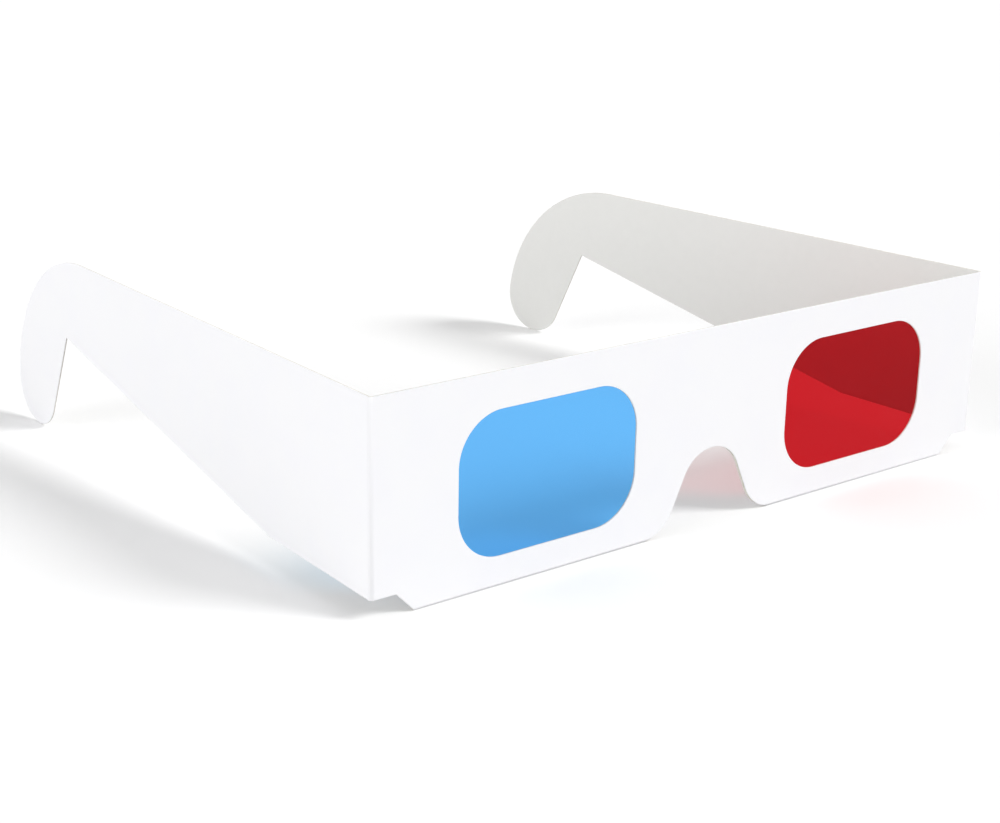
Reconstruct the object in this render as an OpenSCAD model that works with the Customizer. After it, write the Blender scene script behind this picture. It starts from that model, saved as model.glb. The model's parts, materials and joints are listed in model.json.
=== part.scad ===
// Folding card 3D glasses: one die-cut card blank, doubled at the front over two
// colour films, with a temple folded back from a scored crease at each end.
// X runs along the front, from the cyan lens to the red one. Y runs from the front
// back to the ear hooks. Z is up, and the glasses stand on the bottom fold and the
// two hooks. The origin is on the table, under the middle of the glasses.

/* [Front panel] */
// Width of the front, between the outer faces of the two temples
panel_w = 152; // [148:1:170]
// Height of the front, from the table to its top edge
panel_h = 38; // [37:0.5:44]
// Height of the lower end of each crease
crease_z = 3.8; // [2:0.1:4.2]
// Length of the level step beside each crease
step_run = 5; // [3:0.1:5.5]
// Length of the slanted relief cut from the step down to the bottom fold
relief_run = 3.7; // [1:0.1:4]

/* [Lens windows] */
// Card left between each window and the outer face of the temple beside it
cheek_w = 17.5; // [14:0.5:20]
// Card left between the two windows
bridge_w = 38.5; // [35:0.5:44]
// Card left above each window
brow_h = 6.6; // [5.6:0.2:9]
// Card left below each window
sill_h = 5.4; // [4.6:0.2:9]
// Corner radius of a window
window_r = 9; // [4:0.5:10]
// How far a film reaches past its window, under the card
film_lap = 4; // [2:0.5:4]

/* [Nose notch] */
// Radius of the notch's round top
nose_r = 7.5; // [5:0.25:8.5]
// Height of the top of the notch
nose_top = 15; // [12:0.2:18]
// Slant of the notch's flanks from upright, in degrees
nose_flare = 25; // [15:1:30]
// Radius of the corners at the mouth of the notch
nose_mouth_r = 8.5; // [4:0.5:10]

/* [Temples] */
// Distance from the crease to the bend in the temple's lower edge
bend_reach = 31; // [20:1:50]
// Height of that bend
bend_z = 4.8; // [4.2:0.1:8]
// Distance from the crease to the top of the ear notch
ear_reach = 110.5; // [95:0.5:118]
// Height of the top of the ear notch
ear_z = 22.4; // [18:0.2:24]
// Length of the hook, from the ear notch to the end of the temple
hook_l = 25; // [22:0.5:30]
// Height of the hook's shoulder, where the temple is highest
hook_h = 39; // [37:0.5:44]
// Radius of the hook's upper shoulder
shoulder_r = 33.5; // [24:0.5:36]
// Radius of the hook's lower tip
tip_r = 8.75; // [7:0.25:10]
// How far the left temple leans in from square as it stands, in degrees
left_toe_in = 0.9; // [0:0.1:8]
// How far the right temple leans in from square as it stands, in degrees
right_toe_in = 6; // [0:0.1:8]

/* [Card, film and glue] */
// Thickness of the card
card_t = 0.35; // [0.3:0.05:0.6]
// Thickness of the films, and of the glue around them
film_t = 0.1; // [0.05:0.01:0.2]
// Room between the liner and a temple that is folded flat behind it
fold_gap = 0.2; // [0.1:0.05:0.5]
// Slit between the end of the bent crease and the temple
crease_slit = 0.02; // [0.01:0.01:0.05]
// How far the liner stays below the top edge of the front
liner_drop = 1.5; // [0.5:0.25:2]
// How far each side of the liner leans in from its foot to its top
liner_taper = 2; // [0:0.25:3]
// How much wider the liner's windows are than the front's, on each side
liner_margin = 0.8; // [0.4:0.1:1.5]

/* [Hidden] */
$fn = 96;
arc_step = 4;

card_colour = "#FBFBFD";
cyan_colour = "#6ABCF0";
red_colour = "#C9242B";
glue_colour = "#F1EDE2";

// Front, film and liner lie against each other, and the bottom fold wraps round their foot.
stack_t = 2 * card_t + film_t;
fold_r = stack_t / 2;

// A crease is bent round its hinge line, so that a folded temple clears the liner.
crease_r = (stack_t + card_t + fold_gap) / 2;
hinge_x = panel_w / 2 - crease_r;

// The origin lies midway between the front face and the end of the longer reaching temple.
temple_l = ear_reach + hook_l;
function reach_back(toe_in) = temple_l * cos(toe_in) + crease_r * sin(toe_in);
depth = crease_r + max(reach_back(left_toe_in), reach_back(right_toe_in));
front_y = -depth / 2;
film_y = front_y + card_t;
liner_y = film_y + film_t;
hinge_y = front_y + crease_r;

// The windows take up the card between the bridge and the cheeks, and the brow and the sill.
window_w = (panel_w - bridge_w) / 2 - cheek_w;
window_h = panel_h - brow_h - sill_h;
window_x = (bridge_w + window_w) / 2;
window_z = sill_h + window_h / 2;

step_x = panel_w / 2 - step_run;
relief_x = step_x - relief_run;
liner_top = panel_h - liner_drop;

// Points along an arc, from one angle to another in degrees.
function arc(middle, r, from, to) =
    let (steps = ceil(abs(to - from) / arc_step))
    [for (i = [0 : steps]) let (angle = from + (to - from) * i / steps)
        middle + r * [cos(angle), sin(angle)]];

// The nose notch from right to left: a mouth corner, a straight flank, the round top,
// and the same again. Each flank touches the arcs that it joins.
nose_z = nose_top - nose_r;
flank_foot = nose_r / cos(nose_flare) + nose_z * tan(nose_flare);
mouth = [flank_foot + nose_mouth_r / tan(45 + nose_flare / 2), nose_mouth_r];
nose_notch = concat(arc(mouth, nose_mouth_r, 270, 180 + nose_flare),
                    arc([0, nose_z], nose_r, nose_flare, 180 - nose_flare),
                    arc([-mouth.x, mouth.y], nose_mouth_r, -nose_flare, -90));

// The hook from front to back: its inner edge touches the round tip, which stands on
// the table, and the tip runs on into the wide shoulder.
ear = [ear_reach, ear_z];
tip = [temple_l - tip_r, tip_r];
shoulder_z = hook_h - shoulder_r;
shoulder = [tip.x - sqrt(pow(shoulder_r - tip_r, 2) - pow(tip_r - shoulder_z, 2)), shoulder_z];
tip_from = atan2(ear.y - tip.y, ear.x - tip.x) + acos(tip_r / norm(ear - tip));
tip_to = atan2(tip.y - shoulder.y, tip.x - shoulder.x);
hook = concat(arc(tip, tip_r, tip_from, 360 + tip_to), arc(shoulder, shoulder_r, tip_to, 90));

// A flat outline, X across and Y up, stood upright as a sheet whose front face is at y.
module upright(y, thickness) {
    translate([0, y + thickness, 0])
        rotate([90, 0, 0])
            linear_extrude(height = thickness) children();
}

module on_both_sides() {
    children();
    mirror([1, 0, 0]) children();
}

module rounded_rectangle(size, r) {
    square([size.x - 2 * r, size.y], center = true);
    square([size.x, size.y - 2 * r], center = true);
    for (x = [-1, 1], y = [-1, 1])
        translate([x * (size.x / 2 - r), y * (size.y / 2 - r)]) circle(r);
}

module window(margin) {
    translate([window_x, window_z])
        rounded_rectangle([window_w, window_h] + 2 * margin * [1, 1], window_r + margin);
}

module film_outline() {
    translate([window_x, window_z])
        square([window_w, window_h] + 2 * film_lap * [1, 1], center = true);
}

// The front of the blank between its creases, down to the bottom fold.
module front_outline() {
    polygon(concat([[-hinge_x, panel_h], [hinge_x, panel_h], [hinge_x, crease_z],
                    [step_x, crease_z], [relief_x, 0]],
                   nose_notch,
                   [[-relief_x, 0], [-step_x, crease_z], [-hinge_x, crease_z]]));
}

// The liner flap, as it lies once it is folded up behind the front.
module liner_outline() {
    liner_top_x = relief_x - liner_taper;
    polygon(concat([[-liner_top_x, liner_top], [liner_top_x, liner_top], [relief_x, 0]],
                   nose_notch,
                   [[-relief_x, 0]]));
}

// Everything below the straight walls of the bottom fold.
module fold_zone() {
    translate([-panel_w / 2, 0]) square([panel_w, fold_r]);
}

// The half round of card that joins the two plies at the right of the nose notch.
module bottom_fold() {
    intersection() {
        translate([0, front_y + fold_r, fold_r])
            rotate([90, 0, 90])
                linear_extrude(height = panel_w / 2) difference() {
                    circle(fold_r);
                    circle(film_t / 2);
                    translate([-fold_r, 0]) square([2 * fold_r, fold_r]);
                }
        upright(front_y, stack_t) intersection() {
            front_outline();
            fold_zone();
        }
    }
}

// The scored strip at the right end of the front, bent round its hinge line.
module crease(toe_in) {
    wedge_r = 2 * crease_r;
    wedge = [for (part = [0, 0.5, 1]) let (angle = -90 + part * (90 + toe_in))
        wedge_r * [cos(angle), sin(angle)]];
    translate([hinge_x, hinge_y, crease_z])
        linear_extrude(height = panel_h - crease_z) intersection() {
            difference() {
                circle(crease_r);
                circle(crease_r - card_t);
            }
            polygon(concat([[0, 0]], wedge));
        }
}

// A temple laid out flat: X is the distance from its hinge line, Y its height.
module temple_outline() {
    polygon(concat([[crease_slit, panel_h], [crease_slit, crease_z], [bend_reach, bend_z], ear],
                   hook));
}

// The right temple, turned in about its hinge line.
module temple(toe_in) {
    translate([hinge_x, hinge_y, 0])
        rotate([0, 0, toe_in])
            translate([crease_r - card_t, 0, 0])
                rotate([90, 0, 90])
                    linear_extrude(height = card_t) temple_outline();
}

module front_panel() {
    color(card_colour) upright(front_y, card_t) difference() {
        front_outline();
        fold_zone();
        on_both_sides() window(0);
    }
}

module back_panel() {
    color(card_colour) upright(liner_y, card_t) difference() {
        liner_outline();
        fold_zone();
        on_both_sides() window(liner_margin);
    }
}

module left_bottom_fold() {
    color(card_colour) mirror([1, 0, 0]) bottom_fold();
}

module right_bottom_fold() {
    color(card_colour) bottom_fold();
}

module cyan_lens() {
    color(cyan_colour) upright(film_y, film_t) mirror([1, 0, 0]) film_outline();
}

module red_lens() {
    color(red_colour) upright(film_y, film_t) film_outline();
}

module ply_glue() {
    color(glue_colour) upright(film_y, film_t) difference() {
        liner_outline();
        fold_zone();
        on_both_sides() film_outline();
    }
}

module left_crease() {
    color(card_colour) mirror([1, 0, 0]) crease(left_toe_in);
}

module right_crease() {
    color(card_colour) crease(right_toe_in);
}

module left_temple() {
    color(card_colour) mirror([1, 0, 0]) temple(left_toe_in);
}

module right_temple() {
    color(card_colour) temple(right_toe_in);
}

front_panel();
back_panel();
left_bottom_fold();
right_bottom_fold();
cyan_lens();
red_lens();
ply_glue();
left_crease();
right_crease();
left_temple();
right_temple();
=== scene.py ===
"""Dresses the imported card 3D glasses: one folded white card blank over two colour films.

Sizes are in millimetres in the part's own frame. X runs along the front, from the cyan film
to the red one, Y runs back to the ear hooks, and Z is up from the table.
"""

import json
import logging
import math
from collections.abc import Iterable
from dataclasses import dataclass, field
from enum import Enum

import bmesh
import bpy
from mathutils import Matrix, Vector, noise
from mathutils.geometry import delaunay_2d_cdt


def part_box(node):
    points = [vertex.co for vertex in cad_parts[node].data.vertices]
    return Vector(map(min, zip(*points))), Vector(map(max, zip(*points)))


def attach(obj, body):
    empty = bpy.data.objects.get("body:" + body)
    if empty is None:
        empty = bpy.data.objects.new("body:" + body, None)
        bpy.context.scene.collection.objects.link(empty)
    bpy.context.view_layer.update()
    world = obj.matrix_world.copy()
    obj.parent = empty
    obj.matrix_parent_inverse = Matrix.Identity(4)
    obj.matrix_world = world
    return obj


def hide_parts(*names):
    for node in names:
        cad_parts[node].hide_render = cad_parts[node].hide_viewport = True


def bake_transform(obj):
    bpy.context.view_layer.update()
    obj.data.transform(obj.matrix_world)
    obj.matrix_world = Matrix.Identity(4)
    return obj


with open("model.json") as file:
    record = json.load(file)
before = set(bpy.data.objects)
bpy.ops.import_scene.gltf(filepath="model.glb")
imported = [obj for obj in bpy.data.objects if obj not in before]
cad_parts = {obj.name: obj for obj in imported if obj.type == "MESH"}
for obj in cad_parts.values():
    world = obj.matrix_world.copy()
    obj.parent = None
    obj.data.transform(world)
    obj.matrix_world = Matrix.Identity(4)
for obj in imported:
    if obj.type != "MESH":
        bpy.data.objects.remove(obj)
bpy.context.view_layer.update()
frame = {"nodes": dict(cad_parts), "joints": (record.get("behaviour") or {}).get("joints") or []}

LOG = logging.getLogger("card_glasses")
MM = 0.001
WHITE = (1.0, 1.0, 1.0, 1.0)

# Directions of the part's frame
ALONG = Vector((1, 0, 0))
BACK = Vector((0, 1, 0))
UP = Vector((0, 0, 1))

# The frame's body that carries all but the temples
FRONT_BODY = "front"

# How far a film reaches past its window, under the card
FILM_LAP = 4.0

# Points that are closer than this count as one
SAME_SPOT = 1e-4


class Side(Enum):
    """An end of the glasses, with the sign of its X and the colour of its film."""

    LEFT = (-1, "left", "cyan")
    RIGHT = (1, "right", "red")

    @property
    def sign(self) -> int:
        """Sign of X on this side."""
        return self.value[0]

    @property
    def word(self) -> str:
        """Word that the node names of this side start with."""
        return self.value[1]

    @property
    def film(self) -> str:
        """Colour of this side's film, as the node and slot names give it."""
        return self.value[2]


def linear(hex_colour: str) -> tuple[float, float, float, float]:
    """Turns an sRGB hex colour into a linear one.

    Args:
        hex_colour: The colour, such as "#FBFBFD".

    Returns:
        Red, green, blue and an alpha of 1.
    """
    channels = [int(hex_colour[i : i + 2], 16) / 255 for i in (1, 3, 5)]
    return (*(c / 12.92 if c <= 0.04045 else ((c + 0.055) / 1.055) ** 2.4 for c in channels), 1.0)


def add_node(tree: bpy.types.NodeTree, kind: str, inputs: dict | None = None,
             **settings: object) -> bpy.types.Node:
    """Adds a node with its settings, and fills or links its inputs.

    Args:
        tree: The shader or geometry tree.
        kind: The node's type name.
        inputs: What goes into each input, by name or index: a socket to link, or a value.
        settings: The node's own properties.

    Returns:
        The new node.
    """
    node = tree.nodes.new(kind)
    for name, value in settings.items():
        setattr(node, name, value)
    for key, value in (inputs or {}).items():
        if isinstance(value, bpy.types.NodeSocket):
            tree.links.new(value, node.inputs[key])
        else:
            node.inputs[key].default_value = value
    return node


def per_metre(size_mm: float) -> float:
    """Scale of a texture whose features are this many millimetres apart."""
    return 1 / (size_mm * MM)


def corners(node: str) -> tuple[Vector, Vector]:
    """Lowest and highest corner of a CAD node, in millimetres."""
    low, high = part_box(node)
    return low / MM, high / MM


def arc(middle: Vector, radius: float, start: float, end: float) -> list[Vector]:
    """Points along an arc in a flat outline.

    Args:
        middle: Centre of the arc.
        radius: Its radius.
        start: Angle of the first point, in degrees.
        end: Angle of the last point, in degrees.

    Returns:
        The points, both ends among them.
    """
    degrees_a_step = 3
    steps = max(1, math.ceil(abs(end - start) / degrees_a_step))
    angles = [math.radians(start + (end - start) * i / steps) for i in range(steps + 1)]
    return [middle + radius * Vector((math.cos(a), math.sin(a))) for a in angles]


def mirrored(points: Iterable[Vector]) -> list[Vector]:
    """The points of a flat outline, moved to the other side of the middle."""
    return [Vector((-p.x, p.y)) for p in points]


def without_repeats(points: list[Vector]) -> list[Vector]:
    """The points of an outline, without those that lie on the one before."""
    return [p for i, p in enumerate(points) if (p - points[i - 1]).length > SAME_SPOT]


# Finishes


@dataclass(frozen=True)
class CloudedFinish:
    """A finish with a faint cloudiness and a fine tooth, as board and dried paste have.

    Both are finer than the render can show, and are drawn as coarse as it needs.
    """

    name: str
    white: str
    cloud: str
    cloud_mm: float
    tooth_mm: float
    tooth_depth_mm: float
    roughness: tuple[float, float]
    cloud_detail: float = 6.0
    cloud_edges: tuple[float, float] = (0.35, 0.6)
    tooth_detail: float = 3.0
    tooth_edges: tuple[float, float] = (0.3, 0.7)
    ior: float = 1.5
    specular: float = 0.3

    def material(self) -> bpy.types.Material:
        """Makes the material, or finds the one that was made before.

        Returns:
            The material, which is made once for each finish.
        """
        made = bpy.data.materials.get(self.name)
        if made:
            return made
        material = bpy.data.materials.new(self.name)
        material.use_nodes = True
        tree = material.node_tree
        shader = tree.nodes["Principled BSDF"]
        place = add_node(tree, "ShaderNodeTexCoord").outputs["Object"]
        clouds = add_node(tree, "ShaderNodeTexNoise",
                          {"Vector": place, "Scale": per_metre(self.cloud_mm),
                           "Detail": self.cloud_detail})
        tooth = add_node(tree, "ShaderNodeTexNoise",
                         {"Vector": place, "Scale": per_metre(self.tooth_mm),
                          "Detail": self.tooth_detail})
        colour = add_node(tree, "ShaderNodeValToRGB", {"Fac": clouds.outputs["Fac"]})
        stops = colour.color_ramp.elements
        for stop, edge, shade in zip(stops, self.cloud_edges, (self.cloud, self.white)):
            stop.position = edge
            stop.color = linear(shade)
        dullness = add_node(tree, "ShaderNodeMapRange",
                            {"Value": tooth.outputs["Fac"],
                             "From Min": self.tooth_edges[0], "From Max": self.tooth_edges[1],
                             "To Min": self.roughness[0], "To Max": self.roughness[1]})
        bump = add_node(tree, "ShaderNodeBump",
                        {"Height": tooth.outputs["Fac"], "Distance": self.tooth_depth_mm * MM})
        tree.links.new(colour.outputs["Color"], shader.inputs["Base Color"])
        tree.links.new(dullness.outputs["Result"], shader.inputs["Roughness"])
        tree.links.new(bump.outputs["Normal"], shader.inputs["Normal"])
        shader.inputs["IOR"].default_value = self.ior
        shader.inputs["Specular IOR Level"].default_value = self.specular
        return material


@dataclass(frozen=True)
class CoatedBoard(CloudedFinish):
    """Clay-coated bleached board, calendered: a smooth, bluish white with a dull sheen.

    The coat hides the fibres, so only a faint tooth and a slight cloudiness are left.
    """

    name: str = "coated_white_board"
    white: str = "#F8F8FA"
    cloud: str = "#F7F7FA"
    cloud_mm: float = 7.0
    tooth_mm: float = 0.7
    tooth_depth_mm: float = 0.002
    roughness: tuple[float, float] = (0.5, 0.62)


@dataclass(frozen=True)
class BoardReverse(CloudedFinish):
    """Uncoated reverse of the same board: a warmer, greyer white that shows its fibres, darkened
    further as painted shade on the inner faces.
    """

    name: str = "uncoated_reverse_with_painted_shade"
    # These whites are darker than the reverse's own tone: part of the darkness is painted shade.
    white: str = "#E7E7E4"
    cloud: str = "#E6E6E3"
    cloud_mm: float = 2.2
    tooth_mm: float = 0.45
    tooth_depth_mm: float = 0.003
    roughness: tuple[float, float] = (0.8, 0.95)


@dataclass(frozen=True)
class CutBoard(CloudedFinish):
    """Die-cut edge of the board: open, dull, beige-grey fibre between the two faces."""

    name: str = "die_cut_board_edge"
    white: str = "#E6E4DC"
    cloud: str = "#DAD7CE"
    cloud_mm: float = 0.9
    tooth_mm: float = 0.25
    tooth_depth_mm: float = 0.02
    roughness: tuple[float, float] = (0.9, 1.0)


@dataclass(frozen=True)
class DriedPaste(CloudedFinish):
    """Dextrin paste dried between the plies: a thin, cream layer with a slight gloss."""

    name: str = "dried_dextrin_paste"
    white: str = "#F1EDE2"
    cloud: str = "#E4DDCB"
    cloud_mm: float = 1.5
    tooth_mm: float = 0.6
    tooth_depth_mm: float = 0.01
    roughness: tuple[float, float] = (0.3, 0.45)


@dataclass(frozen=True)
class DyedFilm:
    """Dyed polyester film, cast and drawn: clear, thin and evenly tinted, with faint draw lines.

    The tint is what a white sheet looks like through the film. The glow is the colour of the
    lamps' light that shines through it on to the table. The haze is that of scattered light.
    """

    name: str
    tint: str
    glow: str
    haze: str
    draw_line_mm: float = 1.6
    draw_line_stretch: float = 14.0
    draw_depth_mm: float = 0.002
    roughness: float = 0.03
    ior: float = 1.1

    def material(self) -> bpy.types.Material:
        """Makes the film's material.

        Returns:
            The material: tinted glass to the eye, and a plain tint to other light.
        """
        material = bpy.data.materials.new(self.name)
        material.use_nodes = True
        tree = material.node_tree
        shader = tree.nodes["Principled BSDF"]
        shader.inputs["Base Color"].default_value = linear(self.tint)
        shader.inputs["Transmission Weight"].default_value = 1.0
        shader.inputs["IOR"].default_value = self.ior
        shader.inputs["Roughness"].default_value = self.roughness
        place = add_node(tree, "ShaderNodeTexCoord").outputs["Object"]
        drawn = add_node(tree, "ShaderNodeMapping",
                         {"Vector": place, "Scale": (1 / self.draw_line_stretch, 1.0, 1.0)})
        lines = add_node(tree, "ShaderNodeTexNoise",
                         {"Vector": drawn.outputs["Vector"], "Scale": per_metre(self.draw_line_mm)})
        bump = add_node(tree, "ShaderNodeBump",
                        {"Height": lines.outputs["Fac"], "Distance": self.draw_depth_mm * MM})
        tree.links.new(bump.outputs["Normal"], shader.inputs["Normal"])
        rays = add_node(tree, "ShaderNodeLightPath")
        mixed = shader.outputs["BSDF"]
        for kind, colour in (("Is Diffuse Ray", self.haze), ("Is Shadow Ray", self.glow)):
            # Light crosses both faces of the film, so each face passes the root of the colour.
            passed = [math.sqrt(c) for c in linear(colour)]
            through = add_node(tree, "ShaderNodeBsdfTransparent", {"Color": passed})
            mixed = add_node(tree, "ShaderNodeMixShader",
                             {0: rays.outputs[kind], 1: mixed,
                              2: through.outputs["BSDF"]}).outputs["Shader"]
        tree.links.new(mixed, tree.nodes["Material Output"].inputs["Surface"])
        return material


def card_materials() -> list[bpy.types.Material]:
    """The card's finishes in slot order: outer face, inner face and cut edge."""
    return [CoatedBoard().material(), BoardReverse().material(), CutBoard().material()]


# Slots of the card's finishes
OUTER, INNER, EDGE = range(3)


# Meshes and pieces


def finished(built: bmesh.types.BMesh, name: str) -> bpy.types.Mesh:
    """Turns the faces of a closed mesh outwards and stores it.

    Args:
        built: The mesh, which is used up.
        name: Name of the stored mesh.

    Returns:
        The stored mesh.
    """
    bmesh.ops.recalc_face_normals(built, faces=built.faces)
    mesh = bpy.data.meshes.new(name)
    built.to_mesh(mesh)
    built.free()
    return mesh


def turn_outwards(mesh: bpy.types.Mesh) -> None:
    """Turns the faces of a closed mesh outwards, after merging its doubled points.

    Args:
        mesh: The stored mesh, which is changed.
    """
    built = bmesh.new()
    built.from_mesh(mesh)
    bmesh.ops.remove_doubles(built, verts=built.verts, dist=SAME_SPOT * MM)
    bmesh.ops.recalc_face_normals(built, faces=built.faces)
    built.to_mesh(mesh)
    built.free()


def new_piece(name: str, mesh: bpy.types.Mesh,
              materials: list[bpy.types.Material]) -> bpy.types.Object:
    """Makes an object of a mesh and links it to the scene.

    Args:
        name: Name of the piece.
        mesh: Its mesh, in place and in metres.
        materials: Its finishes in slot order, or none if the mesh brings its own.

    Returns:
        The new object, which sits at the origin.
    """
    for material in materials:
        mesh.materials.append(material)
    made = bpy.data.objects.new(name, mesh)
    bpy.context.scene.collection.objects.link(made)
    return made


def fasten(made: bpy.types.Object, body: str, node: str) -> bpy.types.Object:
    """Lets a piece ride on a body in place of a CAD node.

    Args:
        made: The piece.
        body: The CAD body that it moves with.
        node: The CAD node that it stands for.

    Returns:
        The piece.
    """
    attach(made, body)
    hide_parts(node)
    return made


# Sheets that are cut from flat stock


def inside(point: Vector, outlines: list[list[Vector]]) -> bool:
    """True if a point lies inside an outline and outside the holes in it.

    Args:
        point: The point.
        outlines: The outer outline and the holes, each as its points in order.

    Returns:
        Whether a level line from the point crosses the outlines an odd number of times.
    """
    crossings = 0
    for points in outlines:
        for a, b in zip(points, points[1:] + points[:1]):
            if (a.y > point.y) != (b.y > point.y):
                crossings += point.x < a.x + (point.y - a.y) * (b.x - a.x) / (b.y - a.y)
    return crossings % 2 == 1


@dataclass(frozen=True)
class SheetPlace:
    """Where a flat outline lies: its origin, its two axes, and the way from its outer face in."""

    origin: Vector
    along: Vector
    up: Vector
    inward: Vector

    def point(self, flat: Vector, depth: float) -> Vector:
        """A point of the outline at a depth below the outer face, in metres."""
        return (self.origin + flat.x * self.along + flat.y * self.up + depth * self.inward) * MM


@dataclass
class CutLine:
    """A closed line of the cutting die, with the card on its left.

    A seam is an edge where the card runs on into its next stretch, so it isn't softened.
    It is given by the number of its first point.
    """

    points: list[Vector]
    seams: set[int] = field(default_factory=set)

    def inset(self, distance: float) -> list[Vector]:
        """The line moved into the card, except along its seams.

        Args:
            distance: How far it moves.

        Returns:
            One point for each point of the line.
        """
        nearly_straight = 0.1
        count = len(self.points)
        edges = [(self.points[(i + 1) % count] - self.points[i]).normalized() for i in range(count)]
        reach = [0.0 if i in self.seams else distance for i in range(count)]
        moved = []
        for i, point in enumerate(self.points):
            before, after = edges[i - 1], edges[i]
            turn = before.x * after.y - before.y * after.x
            if abs(turn) < nearly_straight:
                left_before = Vector((-before.y, before.x))
                left_after = Vector((-after.y, after.x))
                mean = (left_before + left_after).normalized()
                moved.append(point + mean * (reach[i - 1] + reach[i]) / 2)
            else:
                shift = (reach[i - 1] * after - reach[i] * before) / turn
                moved.append(point + shift)
        return moved


@dataclass
class DieCutSheet:
    """A flat sheet with cut edges, softened a little by the die on each face.

    The die strikes the outer face, so that its coat is drawn over the softened edge.
    """

    lines: list[CutLine]
    thickness: float
    place: SheetPlace
    outer_softness: float = 0.09
    inner_softness: float = 0.05
    soft_steps: int = 3
    grid: float = 4.0

    def rings(self) -> list[tuple[float, float]]:
        """Works out the rings of points that run along each cut.

        Returns:
            Inset and depth of each ring, from the outer face to the inner one.
        """
        quarter = [math.radians(90 * i / self.soft_steps) for i in range(self.soft_steps + 1)]
        outer, inner = self.outer_softness, self.inner_softness
        down = [(outer * (1 - math.sin(a)), outer * (1 - math.cos(a))) for a in quarter]
        up = [(inner * (1 - math.sin(a)), self.thickness - inner * (1 - math.cos(a)))
              for a in reversed(quarter)]
        return down + up

    def clear_of_edges(self, point: Vector) -> bool:
        """True if a point lies far enough from every cut for a point of the grid.

        Args:
            point: The point, in the flat outline.

        Returns:
            Whether each cut is at least half a step of the grid away.
        """
        for line in self.lines:
            for a, b in zip(line.points, line.points[1:] + line.points[:1]):
                share = max(0.0, min(1.0, (point - a).dot(b - a) / (b - a).length_squared))
                if (a + share * (b - a) - point).length < self.grid / 2:
                    return False
        return True

    def grid_points(self) -> list[Vector]:
        """Spreads points evenly over the card, which keep its faces' triangles regular.

        Returns:
            The points, with every other row moved along by half a step.
        """
        every = [p for line in self.lines for p in line.points]
        low = Vector((min(p.x for p in every), min(p.y for p in every)))
        high = Vector((max(p.x for p in every), max(p.y for p in every)))
        columns = int((high.x - low.x) / self.grid)
        rows = int((high.y - low.y) / self.grid)
        spots = [low + self.grid * Vector((i + j % 2 / 2, j))
                 for j in range(1, rows + 1) for i in range(1, columns + 1)]
        outlines = [line.points for line in self.lines]
        return [p for p in spots if inside(p, outlines) and self.clear_of_edges(p)]

    def add_walls(self, built: bmesh.types.BMesh,
                  loops: list[list[list[bmesh.types.BMVert]]]) -> None:
        """Adds the cut edges with their softened rims.

        Args:
            built: The mesh so far.
            loops: The points of each ring along each cut.
        """
        for line, ringed in zip(self.lines, loops):
            count = len(line.points)
            for ring, (near, far) in enumerate(zip(ringed, ringed[1:])):
                for i in range(count):
                    j = (i + 1) % count
                    wall = built.faces.new((near[i], far[i], far[j], near[j]))
                    wall.material_index = OUTER if ring < self.soft_steps else EDGE
                    wall.smooth = i not in line.seams

    def add_face(self, built: bmesh.types.BMesh, border: list[bmesh.types.BMVert],
                 ring: tuple[float, float], finish: int) -> None:
        """Adds the triangles of one flat face.

        Args:
            built: The mesh so far.
            border: The points of the face's border, one cut after the other.
            ring: Inset and depth of the border.
            finish: Slot of the face's finish.
        """
        triangles_inside, tolerance = 1, 1e-6
        inset, depth = ring
        flat = [line.inset(inset) for line in self.lines]
        edges = []
        for points in flat:
            first, count = len(edges), len(points)
            edges += [(first + i, first + (i + 1) % count) for i in range(count)]
        spots = [p for points in flat for p in points] + self.grid_points()
        filled, _, triangles, origins, *_ = delaunay_2d_cdt(spots, edges, [], triangles_inside,
                                                            tolerance)
        corner = {new: border[old[0]] for new, old in enumerate(origins) if old[0] < len(border)}
        for triangle in triangles:
            centre = sum((filled[new] for new in triangle), Vector((0, 0))) / len(triangle)
            if not inside(centre, flat):
                continue
            for new in triangle:
                if new not in corner:
                    corner[new] = built.verts.new(self.place.point(filled[new], depth))
            face = built.faces.new([corner[new] for new in triangle])
            face.material_index = finish

    def mesh(self, name: str) -> bpy.types.Mesh:
        """Builds the closed sheet.

        Args:
            name: Name of the mesh.

        Returns:
            The mesh in metres, with its faces marked as outer, inner or edge.
        """
        built = bmesh.new()
        rings = self.rings()
        loops = [[[built.verts.new(self.place.point(p, depth)) for p in line.inset(inset)]
                  for inset, depth in rings] for line in self.lines]
        self.add_walls(built, loops)
        for ring, finish in ((0, OUTER), (-1, INNER)):
            border = [corner for ringed in loops for corner in ringed[ring]]
            self.add_face(built, border, rings[ring], finish)
        return finished(built, name)


# Stretches of card that are bent round a line


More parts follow.
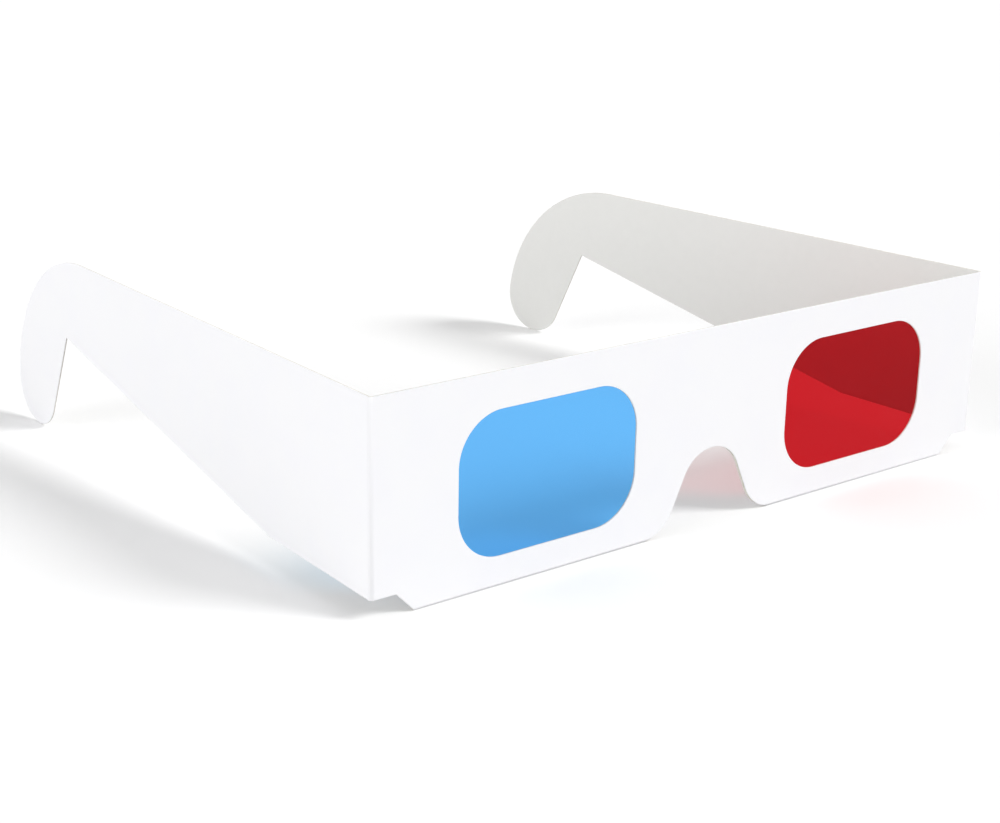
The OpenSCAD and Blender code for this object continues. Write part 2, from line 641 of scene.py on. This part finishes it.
@dataclass
class BentStrip:
    """A strip of card bent round the Z axis, made by a tree of geometry nodes."""

    inner_radius: float
    thickness: float
    start: float
    sweep: float
    length: float
    softness: float = 0.05
    steps: int = 24

    @staticmethod
    def tree() -> bpy.types.NodeTree:
        """Builds the tree that sweeps a strip's section along its bend, or finds it.

        Returns:
            The tree, with a named input for each size and finish.
        """
        tree_name = "bent_card_strip"
        soft_steps, face_on = 2, 0.8
        made = bpy.data.node_groups.get(tree_name)
        if made:
            return made
        tree = bpy.data.node_groups.new(tree_name, "GeometryNodeTree")
        inputs = {"NodeSocketFloat": ("Bend Radius", "Thickness", "Start", "Sweep", "Length",
                                      "Softness"),
                  "NodeSocketInt": ("Steps",),
                  "NodeSocketMaterial": ("Outer", "Inner", "Edge")}
        for kind, names in inputs.items():
            for name in names:
                tree.interface.new_socket(name, in_out="INPUT", socket_type=kind)
        tree.interface.new_socket("Strip", in_out="OUTPUT", socket_type="NodeSocketGeometry")
        sizes = add_node(tree, "NodeGroupInput").outputs
        bend = add_node(tree, "GeometryNodeCurveArc",
                        {"Resolution": sizes["Steps"], "Radius": sizes["Bend Radius"],
                         "Start Angle": sizes["Start"], "Sweep Angle": sizes["Sweep"]})
        section = add_node(tree, "GeometryNodeCurvePrimitiveQuadrilateral",
                           {"Width": sizes["Thickness"], "Height": sizes["Length"]})
        soft = add_node(tree, "GeometryNodeFilletCurve",
                        {"Curve": section.outputs["Curve"], "Count": soft_steps,
                         "Radius": sizes["Softness"]}, mode="POLY")
        swept = add_node(tree, "GeometryNodeCurveToMesh",
                         {"Curve": bend.outputs["Curve"], "Profile Curve": soft.outputs["Curve"],
                          "Fill Caps": True})
        # A face looks out of the bend, into it, or along its edge.
        place = add_node(tree, "GeometryNodeInputPosition").outputs["Position"]
        normal = add_node(tree, "GeometryNodeInputNormal").outputs["Normal"]
        flat = add_node(tree, "ShaderNodeVectorMath", {0: place, 1: (1.0, 1.0, 0.0)},
                        operation="MULTIPLY")
        radial = add_node(tree, "ShaderNodeVectorMath", {0: flat.outputs["Vector"]},
                          operation="NORMALIZE")
        facing = add_node(tree, "ShaderNodeVectorMath",
                          {0: radial.outputs["Vector"], 1: normal},
                          operation="DOT_PRODUCT").outputs["Value"]
        looks_out = add_node(tree, "FunctionNodeCompare", {0: facing, 1: face_on},
                             operation="GREATER_THAN").outputs[0]
        looks_in = add_node(tree, "FunctionNodeCompare", {0: facing, 1: -face_on},
                            operation="LESS_THAN").outputs[0]
        dressed = add_node(tree, "GeometryNodeRealizeInstances",
                           {"Geometry": swept.outputs["Mesh"]}).outputs["Geometry"]
        for finish, chosen in (("Edge", True), ("Outer", looks_out), ("Inner", looks_in)):
            dressed = add_node(tree, "GeometryNodeSetMaterial",
                               {"Geometry": dressed, "Selection": chosen,
                                "Material": sizes[finish]}).outputs["Geometry"]
        add_node(tree, "NodeGroupOutput", {"Strip": dressed})
        return tree

    def mesh(self, name: str) -> bpy.types.Mesh:
        """Runs the tree on these sizes.

        Args:
            name: Name of the mesh.

        Returns:
            The plain mesh in metres, with the bend's axis on Z and the strip's middle at
            the origin.
        """
        tree = self.tree()
        outer, inner, edge = card_materials()
        values = {"Bend Radius": (self.inner_radius + self.thickness / 2) * MM,
                  "Thickness": self.thickness * MM,
                  "Start": math.radians(self.start), "Sweep": math.radians(self.sweep),
                  "Length": self.length * MM, "Softness": self.softness * MM,
                  "Steps": self.steps, "Outer": outer, "Inner": inner, "Edge": edge}
        maker = bpy.data.objects.new(name, bpy.data.meshes.new(name))
        bpy.context.scene.collection.objects.link(maker)
        modifier = maker.modifiers.new("strip", "NODES")
        modifier.node_group = tree
        for item in tree.interface.items_tree:
            if item.in_out == "INPUT":
                modifier[item.identifier] = values[item.name]
        graph = bpy.context.evaluated_depsgraph_get()
        mesh = bpy.data.meshes.new_from_object(maker.evaluated_get(graph))
        bpy.data.objects.remove(maker)
        mesh.name = name
        return mesh


# The glasses' own sub-assemblies


@dataclass(frozen=True)
class CardSizes:
    """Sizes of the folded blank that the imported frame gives, in millimetres."""

    card: float
    film: float
    front_y: float
    fold_r: float
    crease_r: float
    crease_z: float
    hinge_x: float
    panel_top: float
    liner_top: float

    @classmethod
    def from_frame(cls) -> "CardSizes":
        """Reads the sizes from the boxes of the CAD nodes.

        Returns:
            The sizes.
        """
        front_low, front_high = corners("front_panel")
        crease_low, crease_high = corners("right_crease")
        film_low, film_high = corners("red_lens")
        liner_high = corners("back_panel")[1]
        return cls(card=front_high.y - front_low.y, film=film_high.y - film_low.y,
                   front_y=front_low.y, fold_r=front_low.z,
                   crease_r=crease_high.x - crease_low.x, crease_z=crease_low.z,
                   hinge_x=front_high.x, panel_top=front_high.z, liner_top=liner_high.z)

    @property
    def hinge_y(self) -> float:
        """Distance along Y of the two lines that the temples turn on."""
        return self.front_y + self.crease_r


@dataclass
class FrontCard:
    """The doubled front of the blank: front ply, liner, and the bottom fold between them."""

    sizes: CardSizes
    step_run: float = 5.0
    relief_run: float = 3.7
    nose_r: float = 7.5
    nose_top: float = 15.0
    nose_flare: float = 25.0
    nose_mouth_r: float = 8.5
    window_r: float = 9.0
    liner_taper: float = 2.0
    liner_margin: float = 0.8

    @property
    def step_x(self) -> float:
        """Inner end of the level step beside a crease."""
        return self.sizes.hinge_x + self.sizes.crease_r - self.step_run

    def relief_x(self, z: float) -> float:
        """Place along X of the slanted relief cut at a height."""
        return self.step_x - self.relief_run * (1 - z / self.sizes.crease_z)

    def mouth(self) -> Vector:
        """Works out where the notch's flank, carried down to the table, is rounded off.

        Returns:
            Centre of the round corner at the right of the notch's mouth.
        """
        slant = math.radians(self.nose_flare)
        foot = self.nose_r / math.cos(slant) + (self.nose_top - self.nose_r) * math.tan(slant)
        reach = self.nose_mouth_r / math.tan(math.radians(45 + self.nose_flare / 2))
        return Vector((foot + reach, self.nose_mouth_r))

    def mouth_x(self, z: float) -> float:
        """Place along X of the mouth's round corner at a height."""
        drop = self.nose_mouth_r - max(z, 0.0)
        return self.mouth().x - math.sqrt(self.nose_mouth_r**2 - drop**2)

    def notch(self, foot: float) -> list[Vector]:
        """The nose notch from left to right.

        Args:
            foot: Height of its two ends.

        Returns:
            Its points, with round corners and a round top.
        """
        lift = math.degrees(math.asin((self.nose_mouth_r - foot) / self.nose_mouth_r))
        top = Vector((0.0, self.nose_top - self.nose_r))
        right = arc(self.mouth(), self.nose_mouth_r, 180 + lift, 180 + self.nose_flare)
        right += arc(top, self.nose_r, self.nose_flare, 90)
        return mirrored(right) + right[-2::-1]

    def window(self, side: Side, margin: float) -> CutLine:
        """A lens window.

        Args:
            side: Which window.
            margin: How much wider than the front's window it is, on each side.

        Returns:
            The line of the die, with the card outside it.
        """
        low, high = corners(f"{side.film}_lens")
        reach = FILM_LAP - margin
        radius = self.window_r + margin
        west, east = low.x + reach + radius, high.x - reach - radius
        south, north = low.z + reach + radius, high.z - reach - radius
        corner = ((east, south, 270), (east, north, 0), (west, north, 90), (west, south, 180))
        round_it = [p for x, z, a in corner for p in arc(Vector((x, z)), radius, a, a + 90)]
        return CutLine(round_it[::-1])

    def windows(self, margin: float) -> list[CutLine]:
        """Both lens windows."""
        return [self.window(side, margin) for side in Side]

    def front_sheet(self) -> DieCutSheet:
        """Lays out the front ply.

        Returns:
            The sheet, which runs on into the creases and the bottom fold.
        """
        sizes = self.sizes
        foot, end, low = sizes.fold_r, sizes.hinge_x, sizes.crease_z
        notch = self.notch(foot)
        right = [Vector((self.relief_x(foot), foot)), Vector((self.step_x, low)),
                 Vector((end, low)), Vector((end, sizes.panel_top))]
        points = notch + right + mirrored(reversed(right))
        # Each foot runs on into the bottom fold, and each end into its crease.
        right_foot = len(notch) - 1
        right_end = right_foot + len(right) - 1
        left_end = right_end + 2
        left_foot = len(points) - 1
        seams = {right_foot, right_end, left_end, left_foot}
        place = SheetPlace(sizes.front_y * BACK, along=ALONG, up=UP, inward=BACK)
        return DieCutSheet([CutLine(points, seams), *self.windows(0)], sizes.card, place)

    def liner_sheet(self) -> DieCutSheet:
        """Lays out the liner ply.

        Returns:
            The sheet, whose coated face looks back at the wearer.
        """
        sizes = self.sizes
        foot = sizes.fold_r
        notch = self.notch(foot)
        lean = self.liner_taper / sizes.liner_top
        side = [Vector((self.relief_x(0) - lean * z, z)) for z in (foot, sizes.liner_top)]
        points = notch + side + mirrored(reversed(side))
        seams = {len(notch) - 1, len(points) - 1}
        back_y = sizes.front_y + 2 * sizes.card + sizes.film
        place = SheetPlace(back_y * BACK, along=-ALONG, up=UP, inward=-BACK)
        lines = [CutLine(points, seams), *self.windows(self.liner_margin)]
        return DieCutSheet(lines, sizes.card, place)

    def bottom_fold(self, side: Side) -> bpy.types.Mesh:
        """The half round of card that joins the plies on one side of the nose notch.

        Args:
            side: Which side.

        Returns:
            Its mesh, with its ends cut to the notch and to the relief.
        """
        sizes = self.sizes
        length = self.relief_x(0) - self.mouth_x(0)
        strip = BentStrip(inner_radius=sizes.film / 2, thickness=sizes.card, start=180, sweep=180,
                          length=length)
        mesh = strip.mesh(f"{side.word}_bottom_roll")
        middle = Vector((0, sizes.front_y + sizes.fold_r, sizes.fold_r))
        for vertex in mesh.vertices:
            y, z, x = vertex.co / MM
            height = z + middle.z
            near, far = self.mouth_x(height), self.relief_x(height)
            across = near + (x / length + 1 / 2) * (far - near)
            vertex.co = Vector((side.sign * across, y + middle.y, height)) * MM
        turn_outwards(mesh)
        return mesh

    def build(self) -> list[bpy.types.Object]:
        """Makes the front and sets it on its body.

        Returns:
            The two plies and the two bottom folds.
        """
        made = []
        for name, node, sheet in (("front_ply", "front_panel", self.front_sheet()),
                                  ("liner_ply", "back_panel", self.liner_sheet())):
            ply = new_piece(name, sheet.mesh(name), card_materials())
            made.append(fasten(ply, FRONT_BODY, node))
        for side in Side:
            roll = new_piece(f"{side.word}_bottom_roll", self.bottom_fold(side), [])
            made.append(fasten(roll, FRONT_BODY, f"{side.word}_bottom_fold"))
        return made


@dataclass
class LensFilm:
    """A colour film between the plies, which bellies a little where nothing holds it.

    A hair of air is left on both its faces, so that light reaches the card behind it.
    """

    side: Side
    finish: DyedFilm
    step: float = 1.0
    belly: float = 0.15
    belly_mm: float = 16.0
    air: float = 0.01

    def bulge(self, x: float, z: float, low: Vector, high: Vector) -> float:
        """How far the film stands off its plane at a point.

        Args:
            x: Place along X.
            z: Height.
            low: Lowest corner of the film.
            high: Highest corner of the film.

        Returns:
            The distance along Y, which is nothing under the card.
        """
        middle = (low + high) / 2
        half = (high - low) / 2 - Vector((FILM_LAP, 0, FILM_LAP))
        hold = [max(0.0, 1 - (offset / reach) ** 2)
                for offset, reach in ((x - middle.x, half.x), (z - middle.z, half.z))]
        wave = noise.noise(Vector((x, z, 0)) / self.belly_mm)
        return self.belly * wave * hold[0] * hold[1]

    def mesh(self, name: str) -> bpy.types.Mesh:
        """Builds the film as a closed sheet.

        Args:
            name: Name of the mesh.

        Returns:
            The mesh, in metres.
        """
        low, high = corners(f"{self.side.film}_lens")
        columns = round((high.x - low.x) / self.step)
        rows = round((high.z - low.z) / self.step)
        across = [low.x + (high.x - low.x) * i / columns for i in range(columns + 1)]
        heights = [low.z + (high.z - low.z) * j / rows for j in range(rows + 1)]
        built = bmesh.new()
        front, back = ([built.verts.new(Vector((x, y + self.bulge(x, z, low, high), z)) * MM)
                        for z in heights for x in across]
                       for y in (low.y + self.air, high.y - self.air))
        wide = columns + 1
        for spots in (front, back):
            for j in range(rows):
                for i in range(columns):
                    first = j * wide + i
                    square = (first, first + 1, first + 1 + wide, first + wide)
                    built.faces.new([spots[k] for k in square]).smooth = True
        # The rim goes once round: along the foot, up, back along the top, and down.
        rim = list(range(wide)) + [j * wide + columns for j in range(1, rows + 1)]
        rim += [rows * wide + i for i in range(columns - 1, -1, -1)]
        rim += [j * wide for j in range(rows - 1, 0, -1)]
        for a, b in zip(rim, rim[1:] + rim[:1]):
            built.faces.new((front[a], back[a], back[b], front[b]))
        return finished(built, name)

    def build(self) -> list[bpy.types.Object]:
        """Makes the film and sets it on the front's body.

        Returns:
            The film alone.
        """
        name = f"{self.side.film}_film"
        film = new_piece(name, self.mesh(name), [self.finish.material()])
        return [fasten(film, FRONT_BODY, f"{self.side.film}_lens")]


@dataclass
class PasteLayer:
    """The paste that bonds the two plies around the films, which shows only at its edges."""

    finish: DriedPaste = DriedPaste()
    node: str = "ply_glue"

    def build(self) -> list[bpy.types.Object]:
        """Dresses the CAD node, whose shape is right as it is.

        Returns:
            The node alone.
        """
        layer = frame["nodes"][self.node]
        layer.data.materials.clear()
        layer.data.materials.append(self.finish.material())
        return [layer]


@dataclass
class Temple:
    """A temple with its ear hook, and the crease that it turns on."""

    side: Side
    sizes: CardSizes
    crease_slit: float = 0.02
    bend_reach: float = 31.0
    bend_z: float = 4.8
    ear_reach: float = 110.5
    ear_z: float = 22.4
    hook_l: float = 25.0
    hook_h: float = 39.0
    shoulder_r: float = 33.5
    tip_r: float = 8.75

    @property
    def body(self) -> str:
        """The CAD body of this temple."""
        return f"{self.side.word}_temple"

    @property
    def toe_in(self) -> float:
        """How far the temple leans in from square at rest, from its joint's travel, in degrees."""
        joint = next(j for j in frame["joints"] if j["child"] == self.body)
        return -joint["range_deg"][0] - 90

    @property
    def hinge(self) -> Vector:
        """A point of the line that the temple turns on, at table height."""
        return Vector((self.side.sign * self.sizes.hinge_x, self.sizes.hinge_y, 0))

    def toward(self, degrees: float) -> Vector:
        """The level direction at an angle round the hinge, from straight out to the side."""
        angle = math.radians(degrees)
        return Vector((self.side.sign * math.cos(angle), math.sin(angle), 0))

    def hook(self) -> list[Vector]:
        """Draws the ear hook from the ear notch, round its tip and shoulder, to the top edge.

        Returns:
            Its points in the temple's flat outline.
        """
        ear = Vector((self.ear_reach, self.ear_z))
        tip = Vector((self.ear_reach + self.hook_l - self.tip_r, self.tip_r))
        rise = self.hook_h - self.shoulder_r
        run = math.sqrt((self.shoulder_r - self.tip_r) ** 2 - (tip.y - rise) ** 2)
        shoulder = Vector((tip.x - run, rise))
        back = ear - tip
        first = math.degrees(math.atan2(back.y, back.x) + math.acos(self.tip_r / back.length))
        joined = math.degrees(math.atan2(tip.y - shoulder.y, tip.x - shoulder.x))
        return [ear, *arc(tip, self.tip_r, first, 360 + joined),
                *arc(shoulder, self.shoulder_r, joined, 90)]

    def sheet(self) -> DieCutSheet:
        """Lays out the temple along its lean.

        Returns:
            The sheet, which runs on into its crease.
        """
        sizes = self.sizes
        points = [Vector((self.crease_slit, sizes.panel_top)),
                  Vector((self.crease_slit, sizes.crease_z)),
                  Vector((self.bend_reach, self.bend_z)), *self.hook()]
        outward = self.toward(self.toe_in)
        place = SheetPlace(self.hinge + sizes.crease_r * outward,
                           along=self.toward(self.toe_in + 90), up=UP, inward=-outward)
        return DieCutSheet([CutLine(without_repeats(points), {0})], sizes.card, place)

    def crease(self) -> bpy.types.Object:
        """Makes the creased strip, which bends between the front and the temple.

        Returns:
            The strip.
        """
        sizes = self.sizes
        inner = sizes.crease_r - sizes.card
        strip = BentStrip(inner_radius=inner, thickness=sizes.card, start=-90,
                          sweep=self.side.sign * (90 + self.toe_in),
                          length=sizes.panel_top - sizes.crease_z)
        name = f"{self.side.word}_crease_strip"
        mesh = strip.mesh(name)
        middle = self.hinge + Vector((0, 0, (sizes.panel_top + sizes.crease_z) / 2))
        mesh.transform(Matrix.Translation(middle * MM))
        turn_outwards(mesh)
        made = new_piece(name, mesh, [])
        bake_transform(made)
        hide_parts(f"{self.side.word}_crease")
        return made

    def build(self) -> list[bpy.types.Object]:
        """Makes the temple and its crease, and sets the temple on its body.

        Returns:
            The temple and the crease.
        """
        name = f"{self.side.word}_temple_card"
        temple = new_piece(name, self.sheet().mesh(name), card_materials())
        return [fasten(temple, self.body, f"{self.side.word}_temple"), self.crease()]


# The studio


@dataclass(frozen=True)
class Lamp:
    """A far, soft lamp. Azimuth 0 is in front of the glasses and 90 is at the red film's side."""

    name: str
    azimuth: float
    elevation: float
    spread: float
    strength: float

    def build(self) -> None:
        """Makes the lamp, aimed at the glasses."""
        around, above = math.radians(self.azimuth), math.radians(self.elevation)
        source = Vector((math.sin(around) * math.cos(above), -math.cos(around) * math.cos(above),
                         math.sin(above)))
        data = bpy.data.lights.new(self.name, "SUN")
        data.energy = self.strength
        data.angle = math.radians(self.spread)
        lamp = bpy.data.objects.new(self.name, data)
        lamp.location = source
        lamp.rotation_euler = (-source).to_track_quat("-Z", "Y").to_euler()
        bpy.context.scene.collection.objects.link(lamp)


@dataclass(frozen=True)
class Studio:
    """A white floor, a pale surround, two soft lamps, and the camera of the photograph."""

    floor_metres: float = 12.0
    floor_drop_mm: float = 0.02
    floor_white: str = "#FEFEFE"
    floor_bounce: str = "#DADADA"
    film_lift: tuple[float, float] = (0.38, 0.85)
    lift_run_mm: float = 30.0
    surround: float = 0.56
    key: Lamp = Lamp("key_lamp", azimuth=38, elevation=40, spread=24, strength=1.8)
    fill: Lamp = Lamp("fill_lamp", azimuth=-95, elevation=11, spread=50, strength=1.6)
    eye_mm: tuple[float, float, float] = (-225.52, -285.67, 119.22)
    azimuth: float = 38.861
    pitch: float = 17.522
    roll: float = 1.063
    lens_mm: float = 64.39
    sensor_mm: float = 36.0

    def floor_paint(self) -> bpy.types.Material:
        """Makes the floor's white paint.

        It is grey to scattered light, so that its shadows stay deep. They are lighter through
        the films, and lightest through the red one, as the photograph has them.

        Returns:
            The material.
        """
        paint = bpy.data.materials.new("white_floor_paint")
        paint.use_nodes = True
        tree = paint.node_tree
        lit = tree.nodes["Principled BSDF"]
        lit.inputs["Base Color"].default_value = linear(self.floor_white)
        lit.inputs["Roughness"].default_value = 1.0
        lit.inputs["Specular IOR Level"].default_value = 0.0
        dim = add_node(tree, "ShaderNodeBsdfDiffuse", {"Color": linear(self.floor_bounce)})
        white = add_node(tree, "ShaderNodeEmission", {"Color": WHITE, "Strength": 1.0})
        rays = add_node(tree, "ShaderNodeLightPath")
        bare = add_node(tree, "ShaderNodeMixShader",
                        {0: rays.outputs["Is Diffuse Ray"], 1: lit.outputs[0], 2: dim.outputs[0]})
        place = add_node(tree, "ShaderNodeTexCoord").outputs["Object"]
        across = add_node(tree, "ShaderNodeSeparateXYZ", {0: place}).outputs["X"]
        lift = add_node(tree, "ShaderNodeMapRange",
                        {"Value": across, "From Min": 0.0, "From Max": self.lift_run_mm * MM,
                         "To Min": self.film_lift[0], "To Max": self.film_lift[1]})
        through_film = add_node(tree, "ShaderNodeMath",
                                {0: lift.outputs[0], 1: rays.outputs["Is Transmission Ray"]},
                                operation="MULTIPLY")
        seen = add_node(tree, "ShaderNodeMixShader",
                        {0: through_film.outputs[0], 1: bare.outputs[0], 2: white.outputs[0]})
        tree.links.new(seen.outputs[0], tree.nodes["Material Output"].inputs["Surface"])
        return paint

    def floor(self) -> None:
        """Lays the floor just below the glasses."""
        mesh = bpy.data.meshes.new("studio_floor")
        half = self.floor_metres / 2
        z = -self.floor_drop_mm * MM
        spots = [(-half, -half, z), (half, -half, z), (half, half, z), (-half, half, z)]
        mesh.from_pydata(spots, [], [range(len(spots))])
        new_piece("studio_floor", mesh, [self.floor_paint()])

    def world(self) -> None:
        """Lights the glasses from all round, and shows white to the eye and in gloss."""
        world = bpy.data.worlds.new("pale_surround")
        bpy.context.scene.world = world
        world.use_nodes = True
        tree = world.node_tree
        light = tree.nodes["Background"]
        light.inputs["Color"].default_value = WHITE
        light.inputs["Strength"].default_value = self.surround
        white = add_node(tree, "ShaderNodeBackground", {"Color": WHITE, "Strength": 1.0})
        rays = add_node(tree, "ShaderNodeLightPath")
        seen = rays.outputs["Is Camera Ray"]
        for kind in ("Is Glossy Ray", "Is Transmission Ray"):
            seen = add_node(tree, "ShaderNodeMath", {0: seen, 1: rays.outputs[kind]},
                            operation="MAXIMUM").outputs[0]
        mixed = add_node(tree, "ShaderNodeMixShader",
                         {0: seen, 1: light.outputs[0], 2: white.outputs[0]})
        tree.links.new(mixed.outputs[0], tree.nodes["World Output"].inputs["Surface"])

    def camera(self) -> None:
        """Sets up the camera where the photograph was taken."""
        around, down, tilt = (math.radians(a) for a in (self.azimuth, self.pitch, self.roll))
        ahead = Vector((math.sin(around) * math.cos(down), math.cos(around) * math.cos(down),
                        -math.sin(down)))
        level = Vector((math.cos(around), -math.sin(around), 0))
        upright = level.cross(ahead)
        right = level * math.cos(tilt) + upright * math.sin(tilt)
        up = upright * math.cos(tilt) - level * math.sin(tilt)
        data = bpy.data.cameras.new("photo_camera")
        data.sensor_width = self.sensor_mm
        data.lens = self.lens_mm
        camera = bpy.data.objects.new("photo_camera", data)
        turned = Matrix((right, up, -ahead)).transposed().to_4x4()
        camera.matrix_world = Matrix.Translation(Vector(self.eye_mm) * MM) @ turned
        bpy.context.scene.collection.objects.link(camera)
        bpy.context.scene.camera = camera

    def build(self) -> None:
        """Makes the whole studio."""
        self.floor()
        self.world()
        self.key.build()
        self.fill.build()
        self.camera()
        bpy.context.scene.view_settings.view_transform = "Standard"


def main() -> None:
    """Builds the glasses and the studio, and reports each piece."""
    logging.basicConfig(level=logging.INFO, format="%(name)s: %(message)s")
    sizes = CardSizes.from_frame()
    films = {Side.LEFT: DyedFilm("cyan_dyed_film", tint="#6ABCFC", glow="#2A90B2", haze="#89B8F3"),
             Side.RIGHT: DyedFilm("red_dyed_film", tint="#CA1D26", glow="#981A23", haze="#E06060")}
    parts = [FrontCard(sizes), PasteLayer()]
    parts += [LensFilm(side, finish) for side, finish in films.items()]
    parts += [Temple(side, sizes) for side in Side]
    Studio().build()
    for part in parts:
        for made in part.build():
            LOG.info("%s: %d faces", made.name, len(made.data.polygons))


if __name__ == "__main__":
    main()
